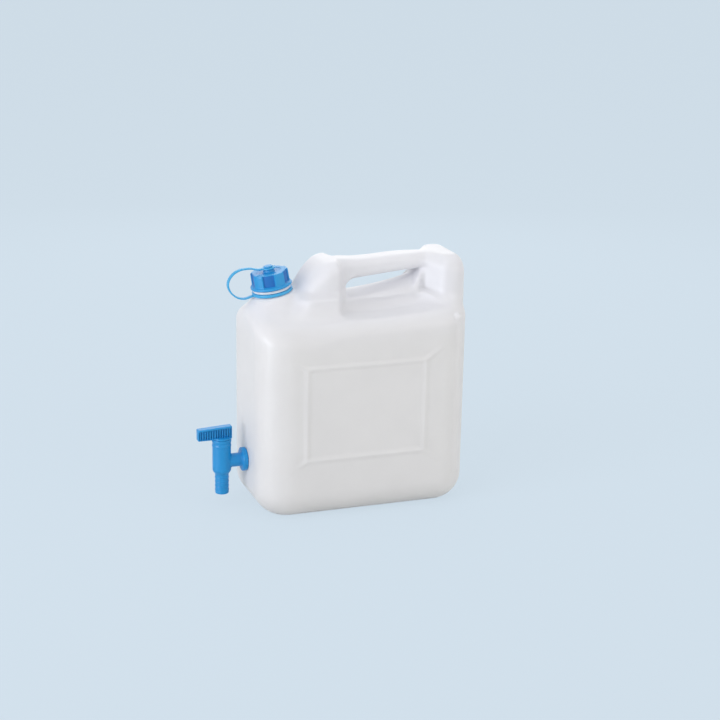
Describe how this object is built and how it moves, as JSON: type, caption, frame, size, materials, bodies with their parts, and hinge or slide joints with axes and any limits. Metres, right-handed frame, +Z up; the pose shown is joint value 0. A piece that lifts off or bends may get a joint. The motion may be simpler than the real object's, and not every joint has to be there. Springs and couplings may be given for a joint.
{
  "type": "water canister with drain tap",
  "caption": "Blow-moulded translucent plastic water canister with an integral grip handle, a tethered screw cap on a leaning neck and a turning drain tap near the floor.",
  "frame": {"origin": "centre of the tank's flat underside, on the mould's parting plane", "axes": "+Z up; X along the tank with the tap and the neck at -X; Y across it, y = 0 on the parting plane"},
  "size_m": [0.362, 0.1684, 0.3403],
  "materials": {
    "natural_polyethylene": "translucent, satin",
    "blue_cap_plastic": "semi-gloss",
    "seal_foam": "matte",
    "blue_tether_plastic": "satin",
    "blue_tap_plastic": "semi-gloss",
    "black_rubber": "matte"
  },
  "bodies": {
    "tank": {"canister": "natural_polyethylene", "cap_tether": "blue_tether_plastic", "tap_body": "blue_tap_plastic", "tap_gasket": "black_rubber"},
    "seal": {"cap_seal": "seal_foam"},
    "cap": {"screw_cap": "blue_cap_plastic"},
    "tap_key": {"tap_handle": "blue_tap_plastic", "plug_seal_upper": "black_rubber", "plug_seal_lower": "black_rubber"}
  },
  "joints": [
    {"name": "cap_lift", "type": "slide", "parent": "tank", "child": "seal", "axis": [-0.1736, 0, 0.9848], "range_m": [0, 0.018], "deforming": ["cap_tether"]},
    {"name": "cap_turn", "type": "hinge", "parent": "seal", "child": "cap", "pos_m": [-0.1102, 0, 0.2966], "axis": [-0.1736, 0, 0.9848], "range_deg": [0, 1080]},
    {"name": "tap_turn", "type": "hinge", "parent": "tank", "child": "tap_key", "pos_m": [-0.181, 0, 0.0672], "axis": [0, 0, 1], "range_deg": [0, 90]}
  ],
  "couplings": [
    {"joint": "cap_lift", "follows": "cap_turn", "m_per_rad": 0.00095493}
  ]
}
